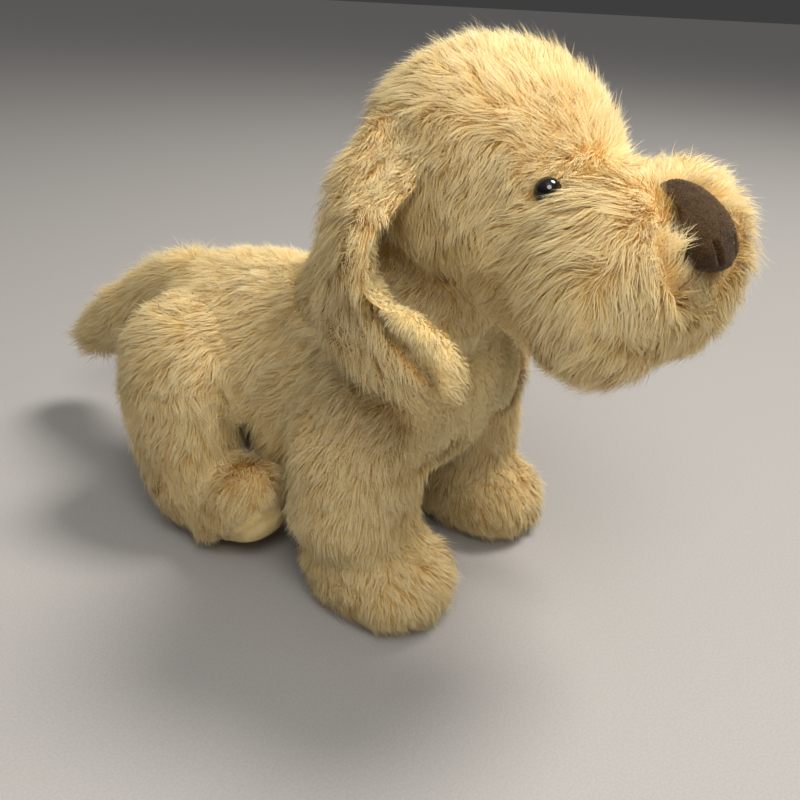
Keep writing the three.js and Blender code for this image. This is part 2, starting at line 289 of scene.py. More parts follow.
def set_coordinates(mesh, co):
    mesh.vertices.foreach_set("co", co.astype(np.float32).ravel())
    mesh.update()


def stuffed(mesh, limit):
    """Blows the cloth up from inside by simulation, and lets no point move further than the limit."""
    rest = coordinates(mesh)
    obj = new_object("stuffed", mesh)
    cloth = obj.modifiers.new("cloth", "CLOTH")
    cloth.settings.quality = 4
    cloth.settings.use_pressure = True
    cloth.settings.uniform_pressure_force = PRESSURE
    cloth.settings.effector_weights.gravity = 0
    cloth.point_cache.frame_start = 1
    cloth.point_cache.frame_end = PRESSURE_FRAMES
    for step in range(1, PRESSURE_FRAMES + 1):
        bpy.context.scene.frame_set(step)
    swollen = evaluated(obj)
    bpy.context.scene.frame_set(1)
    move = coordinates(swollen) - rest
    distance = np.linalg.norm(move, axis=1, keepdims=True)
    set_coordinates(swollen, rest + move * np.minimum(1, limit / np.maximum(distance, 1e-9)))
    return swollen


def owners(points, names):
    """For each point, which of the named CAD nodes is nearest."""
    corners, faces, owner = [], [], []
    for index, name in enumerate(names):
        mesh = NODES[name].data
        mesh.calc_loop_triangles()
        start = len(corners)
        corners.extend(v.co.copy() for v in mesh.vertices)
        faces.extend([start + i for i in t.vertices] for t in mesh.loop_triangles)
        owner.extend([index] * len(mesh.loop_triangles))
    tree = BVHTree.FromPolygons(corners, faces)
    return np.array([owner[tree.find_nearest(Vector(p))[2]] for p in points])


def measurer(targets):
    """A function that gives each point's distance to the nearest of the targets."""
    tree = KDTree(len(targets))
    for index, target in enumerate(targets):
        tree.insert(target, index)
    tree.balance()
    return lambda points: np.array([tree.find(p)[2] for p in points])


def panel_points(prefix):
    return np.concatenate([np.array([v.co for v in NODES[n].data.vertices]) for n in NODES if n.startswith(prefix)])


NEAR_EAR = measurer(panel_points("ear_"))


class Form:
    """A closed cloth form: its corners, triangles, normals, and the CAD panel that each triangle belongs to."""

    def __init__(self, mesh, panels, sunk=0.0):
        soften = new_object("form", mesh)
        soften.modifiers.new("fine", "SUBSURF").levels = 1
        mesh = evaluated(soften)
        mesh.calc_loop_triangles()
        self.panels = panels
        self.co = coordinates(mesh)
        self.tris = np.array([t.vertices[:] for t in mesh.loop_triangles])
        self.owner = owners(self.co[self.tris].mean(axis=1), panels)
        self.find_normals()
        self.co -= self.normal * sunk
        self.pull_seams()
        self.co[:, 2] = np.maximum(self.co[:, 2], FLOOR_CLEARANCE)
        self.find_normals()
        bpy.data.meshes.remove(mesh)

    def pull_seams(self):
        """The stitched line between two panels is drawn in below the stuffing's swell."""
        self.find_normals()
        first = np.full(len(self.co), -1)
        seam = np.zeros(len(self.co), bool)
        for corner in range(3):
            at = self.tris[:, corner]
            known = first[at] >= 0
            seam[at[known & (first[at] != self.owner)]] = True
            first[at[~known]] = self.owner[~known]
        if seam.any():
            near = measurer(self.co[seam])(self.co)
            self.co -= self.normal * (SEAM_DEPTH * (1 - smooth(near, 0, SEAM_WIDTH)))[:, None]

    def relax(self, times):
        """Evens the form out, so that no crease is left in it."""
        ends = np.concatenate([self.tris[:, [0, 1]], self.tris[:, [1, 2]], self.tris[:, [2, 0]]])
        share = np.bincount(ends.ravel(), minlength=len(self.co))[:, None]
        for _ in range(times):
            total = np.zeros_like(self.co)
            np.add.at(total, ends[:, 0], self.co[ends[:, 1]])
            np.add.at(total, ends[:, 1], self.co[ends[:, 0]])
            self.co = (self.co + total / share) / 2

    def find_normals(self):
        a, b, c = (self.co[self.tris[:, i]] for i in range(3))
        across = np.cross(b - a, c - a)
        self.area = np.linalg.norm(across, axis=1) / 2
        self.normal = np.zeros_like(self.co)
        for corner in range(3):
            np.add.at(self.normal, self.tris[:, corner], across)
        self.normal = unit(self.normal)


def make_forms():
    head_body = [n for n, body in BODY_OF.items() if body == "head" and "eye" not in n and "nose" not in n]
    ears = [n for n in BODY_OF if n.startswith("ear_")]
    trunk_body = [n for n, body in BODY_OF.items() if body != "head" and n not in ears]
    cloth_only = lambda names: [n for n in names if "stuffing" not in n]
    hips = lambda co: TRUNK_BRIDGE * (smooth(co[:, 2], 0.052, 0.088) + 0.8 * smooth(co[:, 2], 0.088, 0.115))
    brow = lambda co: np.full(len(co), HEAD_BRIDGE)
    chest_low, chest_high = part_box("chest_panel")
    chest_y, chest_z = chest_low[1] + 23 * MM, (chest_low[2] + chest_high[2]) / 2
    chest = [((MIDLINE, chest_y, chest_z), CHEST_BULK)]
    for x in (-SHOULDER_X, SHOULDER_X):
        chest.append(((MIDLINE + x, chest_y, chest_z + SHOULDER_RISE), SHOULDER_BULK))
    trunk = remeshed(trunk_body, TRUNK_VOXEL, 8, hips, chest)
    level = smooth(coordinates(trunk)[:, 2], 0.078, 0.100)[:, None]
    smoother = coordinates(softened(trunk.copy(), 45))
    set_coordinates(trunk, coordinates(trunk) * (1 - level) + smoother * level)
    trunk = stuffed(trunk, SWELL)
    head = stuffed(remeshed(head_body, HEAD_VOXEL, 6, brow), SWELL)
    settle(trunk, cloth_only(trunk_body))
    forms = {
        "trunk": Form(trunk, cloth_only(trunk_body), SUNK),
        "head": Form(head, cloth_only(head_body), SUNK),
    }
    shift_seams(forms["trunk"])
    for side in SIDES:
        flap = [f"ear_back_{side}", f"ear_lining_{side}"]
        forms[f"ear_{side}"] = ear = Form(remeshed(flap, EAR_VOXEL, 4), flap, EAR_SUNK)
        shape_ear(ear, 1 if side == "left" else -1)
    return forms


def settle(mesh, panels):
    """The belly hangs a little between the legs, the toes of the hind feet droop, and the front legs are full."""
    co = coordinates(mesh)
    owner = np.array([BODY_OF[panels[index]] for index in owners(co, panels)])
    apart = smooth(measurer(co[owner != "torso"])(co), 0, 12 * MM)
    along = smooth(co[:, 1], -0.05, -0.025) * (1 - smooth(co[:, 1], 0.035, 0.06))
    low = 1 - smooth(co[:, 2], 0.055, 0.095)
    co[:, 2] -= BELLY_SAG * apart * along * low
    hind = np.char.startswith(owner, "hind")
    toe = min(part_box(f"hind_leg_sole_{side}")[0][1] for side in SIDES)
    droop = hind * (1 - smooth(co[:, 1], toe + 4 * MM, toe + 36 * MM)) * (1 - smooth(co[:, 2], 22 * MM, 48 * MM))
    co[:, 2] = np.maximum(co[:, 2] - TOE_DROOP * droop, 0)
    front = np.char.startswith(owner, "front")
    full = front * smooth(co[:, 2], 30 * MM, 48 * MM) * (1 - smooth(co[:, 2], 78 * MM, 98 * MM))
    full *= smooth(np.abs(co[:, 0] - MIDLINE), 38 * MM, 52 * MM)
    co[:, 0] += LEG_FULLNESS * full * np.sign(co[:, 0] - MIDLINE)
    co[owner == "neck"] = neck_taper(co[owner == "neck"])
    set_coordinates(mesh, co)


def neck_taper(co):
    """The neck narrows where it goes into the head."""
    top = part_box("neck_stuffing")[1][2]
    inward = NECK_TAPER * smooth(co[:, 2:], top - 20 * MM, top + 3 * MM)
    return co + (middle("neck_stuffing") - co) * inward * (1, 1, 0)


def toe_rim(points):
    """How high the hind sole reaches up the foot at each point: most at the toe."""
    toe = min(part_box(f"hind_leg_sole_{side}")[0][1] for side in SIDES)
    return 3 * MM + TOE_RIM * (1 - smooth(points[:, 1], toe + 4 * MM, toe + 46 * MM))


def shift_seams(form):
    """The hind soles wrap up the rim of the foot, and the short pile of the chest spreads over the shoulders."""
    centres = form.co[form.tris].mean(axis=1)
    low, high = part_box("chest_panel")
    chest = (centres[:, 1] < low[1] + 12 * MM) & (np.abs(centres[:, 0] - MIDLINE) < 46 * MM)
    chest &= (centres[:, 2] > low[2] + 24 * MM) & (centres[:, 2] < high[2])
    form.owner[chest] = form.panels.index("chest_panel")
    near = centres[:, 2] < toe_rim(centres)
    for side in SIDES:
        legs = [form.panels.index(f"hind_leg_{part}_{side}") for part in ("outer", "inner")]
        form.owner[near & np.isin(form.owner, legs)] = form.panels.index(f"hind_leg_sole_{side}")
    form.pull_seams()
    form.find_normals()


def shape_ear(form, side):
    """The root sinks into the head, and the lining rolls over the front edge of the turned-up tip."""
    at = to_head(form.co)
    rows = np.arange(at[:, 2].min(), at[:, 2].max() + 4 * MM, 4 * MM)
    front = [at[np.abs(at[:, 2] - row) < 4 * MM, 1].min(initial=at[:, 1].max()) for row in rows]
    behind = at[:, 1] - np.interp(at[:, 2], rows, front)
    flare = EAR_FLARE * (1 - smooth(behind, 2 * MM, 20 * MM))
    flare *= smooth(at[:, 2], 0.150, 0.165) * (1 - smooth(at[:, 2], 0.182, 0.196))
    root = smooth(at[:, 2], 0.198, 0.226) * EAR_ROOT
    root += smooth(at[:, 2], 0.188, 0.204) * (1 - smooth(behind, 4 * MM, 24 * MM)) * EAR_ROOT_FRONT
    form.co += (flare - root)[:, None] * side * HEAD_X
    at = to_head(form.co[form.tris].mean(axis=1))
    ahead, above = (-at[:, 1] - at[:, 2]) / math.sqrt(2), (at[:, 2] - at[:, 1]) / math.sqrt(2)
    tip = ahead.max()
    steps = np.arange(ahead.min(), tip + 3 * MM, 3 * MM)
    crest = [above[np.abs(ahead - step) < 3 * MM].max(initial=above.min()) for step in steps]
    depth = np.interp(ahead, steps, crest) - above
    width = RIM_WIDTH * smooth(ahead, tip - 42 * MM, tip - 30 * MM)
    form.owner[(depth < width) | ((tip - ahead < 7 * MM) & (depth < 20 * MM))] = 1
    form.pull_seams()
    plump_lining(form)
    form.relax(3)
    form.find_normals()


def plump_lining(form):
    """The lining's turned-up rim is puffed out between its seams."""
    edge = np.unique(form.tris[form.owner == 0])
    lining = np.setdiff1d(np.unique(form.tris[form.owner == 1]), edge)
    inside = measurer(form.co[edge])(form.co[lining])
    form.co[lining] += form.normal[lining] * (LINING_PUFF * smooth(inside, 0, 9 * MM))[:, None]


# ---- How the pile is brushed ----
def brushed(panel, points, normals):
    """The way the pile lies, its length as a share of the full length, and its lift as a share, at each point."""
    count = len(points)
    length = np.ones(count)
    lift = np.ones(count)
    body = BODY_OF[panel]
    side = np.sign(points[:, 0:1] - MIDLINE)
    down = np.tile((0.0, 0.0, -1.0), (count, 1))
    if body == "head":
        return brushed_head(points, normals)
    if body.startswith("ear"):
        curl = 1 - smooth(points[:, 2], 0.142, 0.172)[:, None]
        way = (down + 0.15 * HEAD_Y) * (1 - curl) + (0.55 * down - 0.8 * HEAD_Y) * curl
        length *= 1.05 - 0.25 * smooth(points[:, 2], 0.195, 0.212)
    elif body == "torso":
        way = np.tile((0.0, 0.6, -0.7), (count, 1)) + side * np.array((0.2, 0, 0))
        below = smooth(-normals[:, 2], 0.0, 0.6)
        length *= 1 + 0.9 * below
        lift *= 1 + 0.3 * below
    elif body == "tail":
        way = np.tile((0.0, 0.75, -0.75), (count, 1))
        length *= 1.7
    elif body == "neck":
        way = down + np.array((0, 0.3, 0))
        length *= 0.85
    else:
        paw = (1 - smooth(points[:, 2], 0.012, 0.045))[:, None]
        top = smooth(points[:, 2], 0.08, 0.115)[:, None]
        if body.startswith("front"):
            centre = middle(f"front_leg_stuffing_{body.split('_')[-1]}")
            out = unit((points - (centre[0], centre[1] + 0.012, 0.03)) * (1, 1, 0.35))
            way = down * (1 - 0.6 * paw) + out * 0.8 * paw + np.array((0, 0.1, 0))
        else:
            above = points[:, 2] - toe_rim(points)
            foot = 1 - smooth(points[:, 2:], 45 * MM, 68 * MM)
            way = down + np.array((0, 0.15, 0)) - np.array((0, 0.7, 0)) * foot
            way += np.array((0, 0.3, 0.6)) * (1 - smooth(above, 2 * MM, 7 * MM))[:, None]
            length *= 0.35 + 0.65 * smooth(above, 0, 10 * MM)
            lift *= 1 - 0.4 * paw[:, 0]
        way = way * (1 - top) + (down * 0.7 + np.array((0, 0.6, 0)) + side * np.array((0.3, 0, 0))) * top
        length *= 1 - 0.15 * paw[:, 0]
    return tangent(way, normals), length, lift


def brushed_head(points, normals):
    at = to_head(points) / MM
    out = normals @ HEAD_AXES.T
    x, y, z = at.T
    side = np.where(x > 0, 1.0, -1.0)
    nose = to_head(NOSE[None])[0] / MM
    eye = to_head(middle("eye_washer_left")[None])[0] / MM
    stop = np.array((0, eye[1], eye[2] + 8))

    # Down the sides of the skull, gathered into one line between the eye and the ear.
    slope = np.interp(y - eye[1], (-10, 6, 21, 40, 62, 82), (1.0, 0.7, 0.0, -0.5, -0.35, 0.3))
    skull = np.stack([0.15 * side, slope, -np.ones_like(x)], axis=1)
    # Away from the stop over the forehead and the crown.
    crown = smooth(np.maximum(out[:, 2], -0.9 * out[:, 1]), 0.3, 0.8) * smooth(z, eye[2] - 4, eye[2] + 10)
    way = skull * (1 - crown)[:, None] + unit(at - stop) * (1.2 * crown)[:, None]
    # Away from the nose over the muzzle, and down below it.
    muzzle = 1 - smooth(y + 0.6 * (z - nose[2]), nose[1] + 21, nose[1] + 40)
    low = 1 - smooth(z, nose[2] - 24, nose[2] + 4)
    from_nose = at - (nose + (0, 10, 0))
    fan = unit(from_nose) + np.array((0, 0, -0.5)) * low[:, None]
    under = smooth(-out[:, 2], 0.4, 0.9)[:, None]
    fan = fan * (1 - under) + np.stack([0.3 * side, 0.6 + 0 * x, -0.2 + 0 * x], axis=1) * under
    way = way * (1 - muzzle)[:, None] + fan * muzzle[:, None]
    drop = low * (1 - smooth(out[:, 2], -0.2, 0.4))
    length = 1 + 0.4 * muzzle * (1 - drop)
    lift = 1 - 0.3 * muzzle
    near_nose = np.linalg.norm((at - nose) * (1, 0.6, 1), axis=1)
    close = 1 - smooth(near_nose, 20, 30)
    beard = close * smooth(np.abs(x), 5, 12) * (1 - smooth(z, nose[2] - 4, nose[2] + 6))
    way = way * (1 - beard)[:, None] + (unit(-from_nose) + np.array((0, 0, 0.6))) * beard[:, None]
    length *= 1 - 0.35 * close + 0.15 * beard
    from_eye = at - eye * np.stack([side, np.ones_like(x), np.ones_like(x)], axis=1)
    apart = np.linalg.norm(from_eye * (0.6, 1, 1), axis=1)
    near_eye = 1 - smooth(apart, 5, 13)
    around = np.tile((0.0, 0.6, -0.9), (len(x), 1))
    way = way * (1 - near_eye)[:, None] + around * near_eye[:, None]
    length *= 1 - 0.35 * near_eye
    beside_ear = (1 - smooth(NEAR_EAR(points), 2 * MM, 13 * MM)) * (1 - smooth(z, 198, 212))
    length *= 1 - 0.55 * beside_ear
    return tangent(turn_from_head(way), normals) * (1 - 0.35 * muzzle)[:, None], length, lift


# ---- Growing the pile ----
def pile_kind(panel):
    if panel.startswith("hind_leg_sole"):
        return "sole"
    return {"short_pile": "short", "nose_cloth": "velour"}.get(SLOT_OF[panel], "long")


def hidden(panel, points, normals):
    """Roots that nothing would ever show: under the feet, on the neck's end in the head, behind an eye."""
    buried = (points[:, 2] < 1.2 * MM) & (normals[:, 2] < -0.7)
    if BODY_OF[panel] == "neck":
        buried |= (points[:, 2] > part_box("neck_cover_left")[1][2] - 6 * MM) & (normals[:, 2] > 0.8)
    if BODY_OF[panel] == "head":
        at = to_head(points)
        eye = to_head(middle("eye_washer_left")[None])[0]
        for mirror in (-1, 1):
            buried |= np.linalg.norm((at - eye * (mirror, 1, 1)) * (0.5, 1, 1), axis=1) < EYE_CLEARING
    return buried


def grow(form, index, rng):
    """The strands of one panel: their points (strand, station, xyz), widths, tints and outward directions."""
    panel = form.panels[index]
    kind = PILE[pile_kind(panel)]
    faces = np.flatnonzero(form.owner == index)
    area = form.area[faces]
    count = int(area.sum() / MM**2 * kind["density"])
    if count == 0:
        return None
    picked = faces[np.searchsorted(np.cumsum(area) / area.sum(), rng.random(count)).clip(0, len(faces) - 1)]
    u, v = rng.random((2, count))
    fold = u + v > 1
    u[fold], v[fold] = 1 - u[fold], 1 - v[fold]
    weights = np.stack([1 - u - v, u, v], axis=1)[:, :, None]
    roots = (form.co[form.tris[picked]] * weights).sum(axis=1)
    normals = unit((form.normal[form.tris[picked]] * weights).sum(axis=1))
    keep = ~hidden(panel, roots, normals)
    return strands(panel, roots[keep], normals[keep], kind, rng) if keep.any() else None


def gathered(points, roots, share, members, rng):
    """Draws the strands together in groups, each towards the one it stands around."""
    count = len(roots)
    leaders = rng.permutation(count)[: max(1, count // members)]
    tree = KDTree(len(leaders))
    for slot, leader in enumerate(leaders):
        tree.insert(roots[leader], slot)
    tree.balance()
    group = np.array([tree.find(root)[1] for root in roots])
    pull = share * (0.5 + rng.random(len(leaders)))[group] * (rng.random(count) > 0.1)
    return points + (points[leaders[group]] - points) * (pull[:, None, None] * STATIONS[None, :, None] ** 1.3), group


def bared(points):
    """Strands that would cross an eye stop short of it."""
    for side in SIDES:
        base, aim = EYES[side]
        reach = points - base
        off = np.linalg.norm((reach - (reach @ aim)[..., None] * aim) * (1, 1, 1.5), axis=2).min(axis=1)
        short = 0.2 + 0.8 * smooth(off, EYE_CLEARING - 1.5 * MM, EYE_CLEARING)
        points = points[:, :1] + (points - points[:, :1]) * short[:, None, None]
    return points


def strands(panel, roots, normals, kind, rng):
    count = len(roots)
    way, length_share, lift_share = brushed(panel, roots, normals)
    way = way + 0.6 * swirl(roots, 34, 1) + 0.9 * swirl(roots, 110, 2)
    way = tangent(way, normals)
    length = kind["length"] * MM * length_share * (0.72 + 0.5 * rng.random(count))
    patchy = 0.5 + 0.5 * swirl(roots, 60, 3)[:, 0]
    lift = kind["lift"] * lift_share * (0.5 + 0.6 * patchy + 0.45 * rng.random(count))
    s = STATIONS[None, :, None]
    rise = np.clip(lift, 0.1, 1.2)[:, None, None] * (1.1 * s - 0.5 * s**2)
    along = np.sqrt(np.clip(s**2 - rise**2, 0.01, 1)) * s**0.3
    own = normals[:, None] * rise + way[:, None] * along
    own += kind["stray"] * s * rng.normal(size=(count, 1, 3))
    points = roots[:, None] + own * length[:, None, None]
    points, lock = gathered(points, roots, kind["lock"], STRANDS_PER_LOCK, rng)
    points, clump = gathered(points, roots, kind["clump"], STRANDS_PER_CLUMP, rng)
    points[:, :, 2] = np.maximum(points[:, :, 2], FLOOR_CLEARANCE)
    points = np.clip(points, np.array(CAD_BOX[0]) - PROUD, np.array(CAD_BOX[1]) + PROUD)
    if BODY_OF[panel] == "head":
        points = bared(points)
    tint = 0.4 * rng.normal(size=lock.max() + 1)[lock] + 0.3 * rng.normal(size=clump.max() + 1)[clump]
    tint += 0.3 * rng.normal(size=count)
    width = kind["width"] * MM * (0.7 + 0.6 * rng.random(count))
    return {"points": points, "normals": normals, "tint": tint, "width": width, "roll": rng.normal(size=count)}


def ribbons(pile):
    """Each strand as a flat ribbon that ends in a point, with its outer face turned away from the cloth."""
    points, outward = pile["points"], pile["normals"][:, None]
    count, last = len(points), len(STATIONS) - 1
    direction = unit(np.gradient(points, axis=1))
    across = unit(np.cross(direction, outward))
    across = unit(across + 0.4 * pile["roll"][:, None, None] * np.cross(across, direction))
    half = 0.5 * pile["width"][:, None, None] * TAPER[None, :, None] * across
    pairs = np.stack([points - half, points + half], axis=2)[:, :last].reshape(count, 2 * last, 3)
    corners = np.concatenate([pairs, points[:, last:]], axis=1)
    one = [[2 * k + a, 2 * k + b, 2 * k + c] for k in range(last - 1) for a, b, c in ((0, 1, 3), (0, 3, 2))]
    one = np.array(one + [[2 * last - 2, 2 * last - 1, 2 * last]])
    faces = (np.arange(count) * (2 * last + 1))[:, None, None] + one[None]
    station = np.append(np.repeat(np.arange(last), 2), last)
    shade = unit(outward + 0.3 * unit(np.cross(across, direction)))[:, station]
    rise = np.tile(STATIONS[station], (count, 1))
    tint = np.repeat(pile["tint"], 2 * last + 1)
    return corners.reshape(-1, 3), faces.reshape(-1, 3), shade.reshape(-1, 3), rise.ravel(), tint


def strand_uvs(count):
    """A cell of the colour map for each strand, above the part that the cloth takes."""
    columns = max(1, math.ceil(math.sqrt(count * 1.6)))
    rows = max(1, math.ceil(count / columns))
    last = len(STATIONS) - 1
    station = STATIONS[np.append(np.repeat(np.arange(last), 2), last)]
    u = ((np.arange(count) % columns)[:, None] + np.append(np.tile((0.2, 0.8), last), 0.5)) / columns
    v = ((np.arange(count) // columns)[:, None] + 0.1 + 0.8 * station) / rows
    return np.stack([u, ATLAS_CLOTH + (1 - ATLAS_CLOTH) * v], axis=2).reshape(-1, 2)


def cloth_piece(name, form, index, rng, materials):
    """One panel's backing cloth and its pile, as one object with two materials."""
    faces = form.tris[form.owner == index]
    used, faces = np.unique(faces, return_inverse=True)
    faces = faces.reshape(-1, 3)
    co, shade = form.co[used], form.normal[used]
    rise, tint = np.zeros(len(co)), np.zeros(len(co))
    low, high = co.min(axis=0), co.max(axis=0)
    flat = (co - low) / (high - low)
    uvs = np.stack([flat[:, 1], flat[:, 2] * ATLAS_CLOTH * 0.9], axis=1)
    material = np.zeros(len(faces), np.int32)
    pile = grow(form, index, rng)
    if pile is not None:
        strand_co, strand_faces, strand_shade, strand_rise, strand_tint = ribbons(pile)
        strand_faces = strand_faces + len(co)
        co, shade = np.concatenate([co, strand_co]), np.concatenate([shade, strand_shade])
        rise, tint = np.concatenate([rise, strand_rise]), np.concatenate([tint, strand_tint])
        uvs = np.concatenate([uvs, strand_uvs(len(pile["points"]))])
        faces = np.concatenate([faces, strand_faces])
        material = np.concatenate([material, np.ones(len(strand_faces), np.int32)])
    obj = mesh_object(name, co, faces, shade, uvs, {"pile_rise": rise, "pile_tint": tint})
    for finish in materials:
        obj.data.materials.append(finish)
    obj.data.polygons.foreach_set("material_index", material)
    return obj


def mesh_object(name, co, faces, shade, uvs, attributes):
    mesh = bpy.data.meshes.new(name)
    mesh.vertices.add(len(co))
    mesh.vertices.foreach_set("co", co.astype(np.float32).ravel())
    mesh.loops.add(faces.size)
    mesh.loops.foreach_set("vertex_index", faces.astype(np.int32).ravel())
    mesh.polygons.add(len(faces))
    mesh.polygons.foreach_set("loop_start", np.arange(0, faces.size, 3, dtype=np.int32))
    mesh.update(calc_edges=True)
    mesh.polygons.foreach_set("use_smooth", np.ones(len(faces), bool))
    layer = mesh.uv_layers.new(name="OFBake")
    layer.data.foreach_set("uv", uvs[faces.ravel()].astype(np.float32).ravel())
    for key, values in attributes.items():
        mesh.attributes.new(key, "FLOAT", "POINT").data.foreach_set("value", values.astype(np.float32))
    mesh.normals_split_custom_set_from_vertices(shade.astype(np.float32))
    return new_object(name, mesh)


# ---- Materials ----
def linear(red, green, blue):
    """A colour as it is seen on a screen, in the shader's own units."""
    return tuple(((c / 255 + 0.055) / 1.055) ** 2.4 if c > 10 else c / 255 / 12.92 for c in (red, green, blue)) + (1,)


def principled(name, roughness, **sockets):
    material = bpy.data.materials.new(name)
    material.use_nodes = True
    shader = material.node_tree.nodes["Principled BSDF"]
    shader.inputs["Roughness"].default_value = roughness
    for key, value in sockets.items():
        shader.inputs[key.replace("_", " ")].default_value = value
    return material, material.node_tree, shader


def ramp(tree, stops):
    node = tree.nodes.new("ShaderNodeValToRGB")
    elements = node.color_ramp.elements
    while len(elements) < len(stops):
        elements.new(0.5)
    for element, (position, colour) in zip(elements, stops):
        element.position = position
        element.color = colour
    return node


def attribute(tree, name):
    node = tree.nodes.new("ShaderNodeAttribute")
    node.attribute_name = name
    return node.outputs["Fac"]


def noise_value(tree, scale, detail):
    place = tree.nodes.new("ShaderNodeTexCoord")
    node = tree.nodes.new("ShaderNodeTexNoise")
    node.inputs["Scale"].default_value = scale
    node.inputs["Detail"].default_value = detail
    tree.links.new(place.outputs["Object"], node.inputs["Vector"])
    return node.outputs["Fac"]


def mapped(tree, value, from_low, from_high, to_low, to_high):
    node = tree.nodes.new("ShaderNodeMapRange")
    for key, number in zip(("From Min", "From Max", "To Min", "To Max"), (from_low, from_high, to_low, to_high)):
        node.inputs[key].default_value = number
    tree.links.new(value, node.inputs["Value"])
    return node.outputs["Result"]


def mixed(tree, blend, factor, first, second):
    node = tree.nodes.new("ShaderNodeMix")
    node.data_type = "RGBA"
    node.blend_type = blend
    for socket, value in ((node.inputs[0], factor), (node.inputs[6], first), (node.inputs[7], second)):
        if isinstance(value, bpy.types.NodeSocket):
            tree.links.new(value, socket)
        else:
            socket.default_value = value
    return node.outputs[2]


def pile_material(name, root, body, tip, gold, patch):
    """Strands from a dark root to a pale tip, each a little lighter or darker, with warmer patches."""
    material, tree, shader = principled(
        name, 0.8, Sheen_Weight=0.25, Sheen_Roughness=0.4, Specular_IOR_Level=0.25,
        Sheen_Tint=linear(255, 236, 190))
    along = ramp(tree, [(0.0, root), (0.42, body), (1.0, tip)])
    tree.links.new(attribute(tree, "pile_rise"), along.inputs["Fac"])
    warm = mapped(tree, noise_value(tree, 55, 3), 0.42, 0.7, 0.0, patch)
    colour = mixed(tree, "MIX", warm, along.outputs["Color"], gold)
    shift = mapped(tree, attribute(tree, "pile_tint"), -1.6, 1.6, 0.88, 1.1)
    grey = tree.nodes.new("ShaderNodeCombineColor")
    for channel in ("Red", "Green", "Blue"):
        tree.links.new(shift, grey.inputs[channel])
    colour = mixed(tree, "MULTIPLY", 1.0, colour, grey.outputs["Color"])
    tree.links.new(colour, shader.inputs["Base Color"])
    return material


def cloth_material(name, low, high, scale=260):
    """Knitted backing: fine mottled colour and a fine bump."""
    material, tree, shader = principled(name, 0.95, Sheen_Weight=0.2, Specular_IOR_Level=0.1)
    mottle = ramp(tree, [(0.35, low), (0.65, high)])
    tree.links.new(noise_value(tree, scale, 5), mottle.inputs["Fac"])
    tree.links.new(mottle.outputs["Color"], shader.inputs["Base Color"])
    bump = tree.nodes.new("ShaderNodeBump")
    bump.inputs["Distance"].default_value = 0.3 * MM
    tree.links.new(noise_value(tree, scale * 6, 2), bump.inputs["Height"])
    tree.links.new(bump.outputs["Normal"], shader.inputs["Normal"])
    return material


def make_materials():
    long_pile = pile_material(
        "long_pile", linear(226, 180, 104), linear(247, 216, 146), linear(255, 247, 210), linear(240, 202, 124), 0.25)
    short_pile = pile_material(
        "short_pile_strands", linear(238, 210, 146), linear(250, 230, 172), linear(255, 243, 200),
        linear(244, 216, 150), 0.2)
    velour = pile_material(
        "velour", linear(66, 42, 18), linear(98, 70, 36), linear(134, 104, 62), linear(80, 52, 24), 0.3)
    bead, tree, shader = principled("eye_bead", 0.09, Coat_Weight=0.4, Coat_Roughness=0.04)
    iris = ramp(tree, [(0.4, linear(8, 7, 8)), (0.8, linear(22, 18, 18))])
    tree.links.new(noise_value(tree, 300, 2), iris.inputs["Fac"])
    tree.links.new(iris.outputs["Color"], shader.inputs["Base Color"])
    return {
        "fur": (cloth_material("fur_backing", linear(232, 192, 118), linear(242, 204, 132)), long_pile),
        "short_pile": (cloth_material("short_backing", linear(238, 208, 142), linear(246, 220, 160)), short_pile),
        "nose_cloth": (cloth_material("velour_backing", linear(50, 34, 20), linear(70, 50, 30)), velour),
        "stuffing": (cloth_material("fibre", linear(232, 230, 224), linear(250, 249, 245), 120),),
        "eye": (bead,),
        "eye_washer": (cloth_material("moulded_washer", linear(226, 224, 214), linear(236, 234, 226), 900),),
    }


# ---- Pieces ----
def place(obj, panel):
    """Hangs a panel's piece on its body; cloth that runs over a joint, and the tail's cloth, stays where it is, hung on
    no body.
    """
    body = BODY_OF[panel]
    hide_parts(panel)
    limb = body.removesuffix("_left").removesuffix("_right")
    if limb in BENDS:
        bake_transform(obj)
    elif body == "tail":
        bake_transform(obj)
    else:
        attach(obj, body)


def add_panels(forms, materials):
    rng = np.random.default_rng(11)
    for form in forms.values():
        for index, panel in enumerate(form.panels):
            obj = cloth_piece(f"{panel}_cloth", form, index, rng, materials[SLOT_OF[panel]])
            place(obj, panel)


def add_nose(materials):
    """A velour cushion with two nostril creases, on its own padding."""
    mesh = remeshed(["nose_cover", "nose_padding"], NOSE_VOXEL, 6)
    form = Form(mesh, ["nose_cover"])
    at = to_head(form.co)
    nose = to_head(NOSE[None])[0]
    low = at[:, 2] - nose[2]
    for side in (-1, 1):
        across = at[:, 0] - side * (5.2 * MM + 0.25 * (low + 6 * MM))
        slit = (1 - smooth(np.abs(across), 0, 1.8 * MM)) * (1 - smooth(np.abs(low + 5.5 * MM), 2.5 * MM, 5 * MM))
        form.co -= form.normal * (NOSTRIL_DEPTH * slit * (form.normal @ -HEAD_Y > 0.2))[:, None]
    form.find_normals()
    rng = np.random.default_rng(5)
    obj = cloth_piece("nose_cover_cloth", form, 0, rng, materials["nose_cloth"])
    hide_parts("nose_cover")
    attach(obj, "head")


